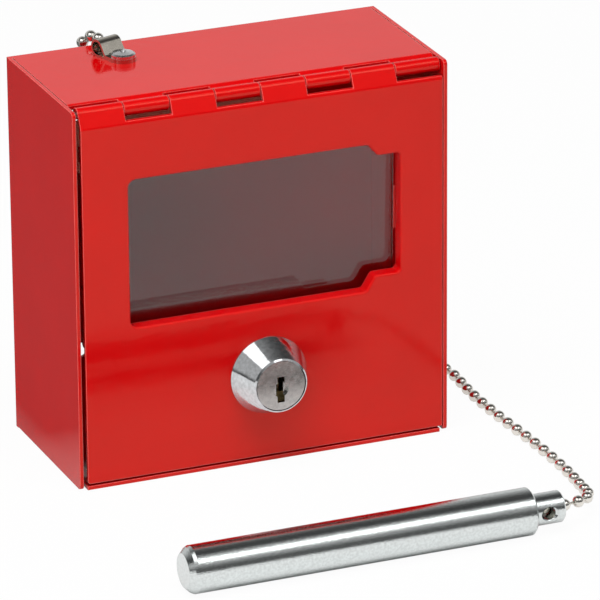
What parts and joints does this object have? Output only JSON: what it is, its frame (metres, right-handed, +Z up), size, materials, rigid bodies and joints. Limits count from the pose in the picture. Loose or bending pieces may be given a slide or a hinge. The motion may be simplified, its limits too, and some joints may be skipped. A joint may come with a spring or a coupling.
{
  "type": "break glass key box",
  "caption": "Small folded steel key box with a top-hinged glazed door, a cam lock, and a steel hammer on a bead chain.",
  "frame": {"origin": "middle of the underside of the box, on the surface it stands on", "axes": "+Z up, the door faces -Y, +X to the right seen from the front"},
  "size_m": [0.1465, 0.1722, 0.1306],
  "materials": {
    "red_paint": "gloss powder coat",
    "pane_glass": "clear float glass",
    "zinc_steel": "bright zinc plated",
    "chrome": "polished chrome plate",
    "satin_nickel": "satin nickel plate",
    "nickel": "nickel plated steel",
    "brass": "stamped",
    "aluminium_rivet": "bright"
  },
  "bodies": {
    "box": {"body_shell": "red_paint", "hinge_pin": "zinc_steel", "lock_strike": "red_paint", "key_hook": "zinc_steel", "key_hook_rivet": "zinc_steel", "chain_strap": "nickel", "strap_rivet": "aluminium_rivet", "bead_in_strap": "nickel", "ball_chain": "nickel"},
    "door": {"door_panel": "red_paint", "glass_pane": "pane_glass", "lower_pane_channel": "red_paint", "upper_pane_channel": "red_paint", "pane_end_stop": "red_paint", "pane_spring": "zinc_steel", "pane_spring_nut": "zinc_steel", "lock_housing": "chrome", "lock_washer": "zinc_steel", "lock_nut": "zinc_steel"},
    "lock_cylinder": {"lock_plug": "satin_nickel", "lock_wafers": "brass", "wafer_springs": "zinc_steel", "cam_stop_washer": "zinc_steel", "lock_cam": "zinc_steel", "cam_screw": "zinc_steel"},
    "hammer": {"hammer_rod": "zinc_steel", "bead_in_hammer": "nickel"}
  },
  "joints": [
    {"name": "door_swing", "type": "hinge", "parent": "box", "child": "door", "pos_m": [0, -0.0256, 0.1228], "axis": [-1, 0, 0], "range_deg": [0, 165]},
    {"name": "lock_turn", "type": "hinge", "parent": "door", "child": "lock_cylinder", "pos_m": [0.0011, -0.03, 0.0293], "axis": [0, 1, 0], "range_deg": [0, 90]},
    {"name": "hammer_lift", "type": "hinge", "parent": "box", "child": "hammer", "pos_m": [0.0642, -0.1155, 0.0075], "axis": [0, 1, 0], "range_deg": [0, 30]}
  ]
}
